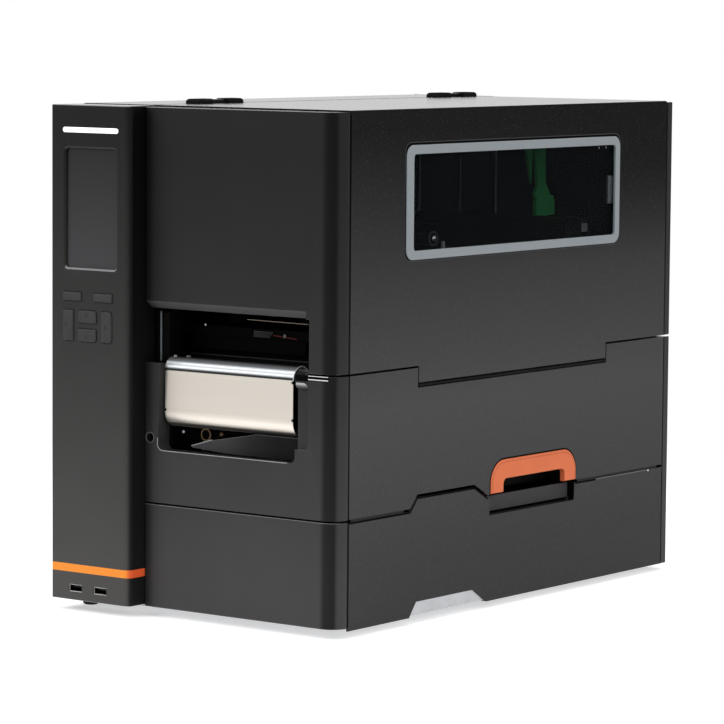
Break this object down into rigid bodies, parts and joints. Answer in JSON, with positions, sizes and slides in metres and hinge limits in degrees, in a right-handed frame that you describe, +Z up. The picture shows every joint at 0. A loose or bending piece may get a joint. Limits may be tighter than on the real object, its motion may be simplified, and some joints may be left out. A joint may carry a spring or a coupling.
{
  "type": "label printer",
  "caption": "Industrial label printer: steel cover that hinges up with a folding door and window, control column with screen and keys, printhead, platen, ribbon spindles and rewinder.",
  "frame": {"origin": "on the desk, under the middle of the machine's footprint", "axes": "+X to the machine's right as its operator faces it, +Y to the back, +Z up"},
  "size_m": [0.2768, 0.5044, 0.416],
  "materials": {
    "side_metal": "fine sparkly powder coat",
    "frame_metal": "satin",
    "front_plastic": "fine grain",
    "column_plastic": "smooth satin",
    "key_plastic": "satin",
    "light_diffuser": "frosted",
    "display_front": "satin gloss",
    "accent_orange": "satin",
    "grip_orange": "satin",
    "black_rubber": "matt",
    "roller_rubber": "ground smooth",
    "grey_frame": "satin",
    "smoked_glass": "clear",
    "guide_green": "satin",
    "bright_steel": "brushed",
    "polished_steel": "polished",
    "bearing_bronze": "plain",
    "cast_aluminium": "cast",
    "black_moulding": "satin",
    "board_green": "gloss",
    "zinc_steel": "zinc plated",
    "belt_rubber": "matt"
  },
  "bodies": {
    "root": {"base_tray": "zinc_steel", "feet": "black_rubber", "centre_wall": "frame_metal", "hinge_blocks": "black_moulding", "left_housing": "side_metal", "rear_panel": "side_metal", "media_rear_wall": "front_plastic", "lower_front_panel": "front_plastic", "exit_cover": "front_plastic", "column_shell": "column_plastic", "accent_stripe": "accent_orange", "light_bar": "light_diffuser", "display_module": "display_front", "key_domes": "black_rubber", "front_board": "board_green", "front_sockets": "bright_steel", "base_side_panel": "side_metal", "print_frame": "frame_metal", "drive_belt": "belt_rubber", "tear_bar": "bright_steel", "guide_plate": "bright_steel", "shaft_bushes": "bearing_bronze", "motors": "black_moulding", "roll_hanger": "black_moulding", "guide_rods": "polished_steel", "label_sensor": "black_moulding", "main_board": "board_green", "power_supply": "zinc_steel", "power_inlet": "black_moulding", "data_sockets": "bright_steel", "panel_screws": "zinc_steel"},
    "media_cover": {"lid_shell": "side_metal", "lid_front": "front_plastic", "lid_rear": "front_plastic", "window_frame": "grey_frame", "window_pane": "smoked_glass"},
    "fold_door": {"fold_panel": "side_metal", "grip": "grip_orange", "grip_back": "black_moulding"},
    "soft_key_left": {"soft_key_left": "key_plastic"},
    "soft_key_right": {"soft_key_right": "key_plastic"},
    "arrow_key_left": {"arrow_key_left": "key_plastic"},
    "arrow_key_right": {"arrow_key_right": "key_plastic"},
    "arrow_key_up": {"arrow_key_up": "key_plastic"},
    "arrow_key_down": {"arrow_key_down": "key_plastic"},
    "platen": {"platen_shaft": "bright_steel", "platen_roller": "roller_rubber"},
    "motor_pulley": {"motor_pulley": "cast_aluminium"},
    "print_head": {"head_bracket": "frame_metal", "printhead": "cast_aluminium"},
    "pressure_knob_inner": {"pressure_knob_inner": "black_moulding"},
    "pressure_knob_outer": {"pressure_knob_outer": "black_moulding"},
    "head_lever": {"head_lever": "guide_green"},
    "ribbon_supply": {"ribbon_supply_spindle": "black_moulding"},
    "ribbon_takeup": {"ribbon_takeup_spindle": "black_moulding"},
    "rewinder": {"rewind_spindle": "cast_aluminium"},
    "roll_guide": {"roll_guide": "guide_green"},
    "edge_guide": {"edge_guide": "guide_green"},
    "dancer_arm": {"dancer_arm": "black_moulding"},
    "power_rocker": {"power_rocker": "black_moulding"}
  },
  "joints": [
    {"name": "cover_hinge", "type": "hinge", "parent": "root", "child": "media_cover", "pos_m": [-0.061, 0, 0.411], "axis": [0, -1, 0], "range_deg": [0, 100]},
    {"name": "door_fold", "type": "hinge", "parent": "media_cover", "child": "fold_door", "pos_m": [0.1365, 0, 0.192], "axis": [0, -1, 0], "range_deg": [0, 100]},
    {"name": "soft_key_left_press", "type": "slide", "parent": "root", "child": "soft_key_left", "axis": [0, 1, 0], "range_m": [0, 0.001], "stiffness_N_per_m": 800, "deforming": ["key_domes"]},
    {"name": "soft_key_right_press", "type": "slide", "parent": "root", "child": "soft_key_right", "axis": [0, 1, 0], "range_m": [0, 0.001], "stiffness_N_per_m": 800, "deforming": ["key_domes"]},
    {"name": "arrow_key_left_press", "type": "slide", "parent": "root", "child": "arrow_key_left", "axis": [0, 1, 0], "range_m": [0, 0.001], "stiffness_N_per_m": 800, "deforming": ["key_domes"]},
    {"name": "arrow_key_right_press", "type": "slide", "parent": "root", "child": "arrow_key_right", "axis": [0, 1, 0], "range_m": [0, 0.001], "stiffness_N_per_m": 800, "deforming": ["key_domes"]},
    {"name": "arrow_key_up_press", "type": "slide", "parent": "root", "child": "arrow_key_up", "axis": [0, 1, 0], "range_m": [0, 0.001], "stiffness_N_per_m": 800, "deforming": ["key_domes"]},
    {"name": "arrow_key_down_press", "type": "slide", "parent": "root", "child": "arrow_key_down", "axis": [0, 1, 0], "range_m": [0, 0.001], "stiffness_N_per_m": 800, "deforming": ["key_domes"]},
    {"name": "platen_turn", "type": "hinge", "parent": "root", "child": "platen", "pos_m": [0, -0.187, 0.203], "axis": [1, 0, 0], "continuous": true},
    {"name": "motor_turn", "type": "hinge", "parent": "root", "child": "motor_pulley", "pos_m": [0, -0.121, 0.165], "axis": [1, 0, 0], "continuous": true},
    {"name": "head_open", "type": "hinge", "parent": "root", "child": "print_head", "pos_m": [0, -0.101, 0.232], "axis": [-1, 0, 0], "range_deg": [0, 18]},
    {"name": "lever_turn", "type": "hinge", "parent": "root", "child": "head_lever", "pos_m": [0, -0.121, 0.262], "axis": [-1, 0, 0], "range_deg": [0, 76]},
    {"name": "pressure_knob_inner_turn", "type": "hinge", "parent": "print_head", "child": "pressure_knob_inner", "pos_m": [-0.015, -0.162, 0.236], "axis": [0, 0, 1], "range_deg": [0, 270]},
    {"name": "pressure_knob_outer_turn", "type": "hinge", "parent": "print_head", "child": "pressure_knob_outer", "pos_m": [0.058, -0.162, 0.236], "axis": [0, 0, 1], "range_deg": [0, 270]},
    {"name": "ribbon_supply_turn", "type": "hinge", "parent": "root", "child": "ribbon_supply", "pos_m": [0, -0.016, 0.28], "axis": [1, 0, 0], "continuous": true},
    {"name": "ribbon_takeup_turn", "type": "hinge", "parent": "root", "child": "ribbon_takeup", "pos_m": [0, -0.133, 0.3], "axis": [1, 0, 0], "continuous": true},
    {"name": "rewinder_turn", "type": "hinge", "parent": "root", "child": "rewinder", "pos_m": [0, -0.091, 0.11201], "axis": [1, 0, 0], "continuous": true},
    {"name": "roll_guide_slide", "type": "slide", "parent": "root", "child": "roll_guide", "axis": [-1, 0, 0], "range_m": [-0.02, 0.078]},
    {"name": "edge_guide_slide", "type": "slide", "parent": "root", "child": "edge_guide", "axis": [-1, 0, 0], "range_m": [0, 0.12]},
    {"name": "dancer_swing", "type": "hinge", "parent": "root", "child": "dancer_arm", "pos_m": [0, 0.017, 0.19], "axis": [-1, 0, 0], "range_deg": [0, 45], "stiffness_Nm_per_rad": 0.15},
    {"name": "power_switch", "type": "hinge", "parent": "root", "child": "power_rocker", "pos_m": [-0.097, 0.248, 0.078], "axis": [1, 0, 0], "range_deg": [0, 15]}
  ],
  "couplings": [
    {"joint": "motor_turn", "follows": "platen_turn", "ratio": 1.75},
    {"joint": "lever_turn", "follows": "head_open", "ratio": 4.1667}
  ]
}
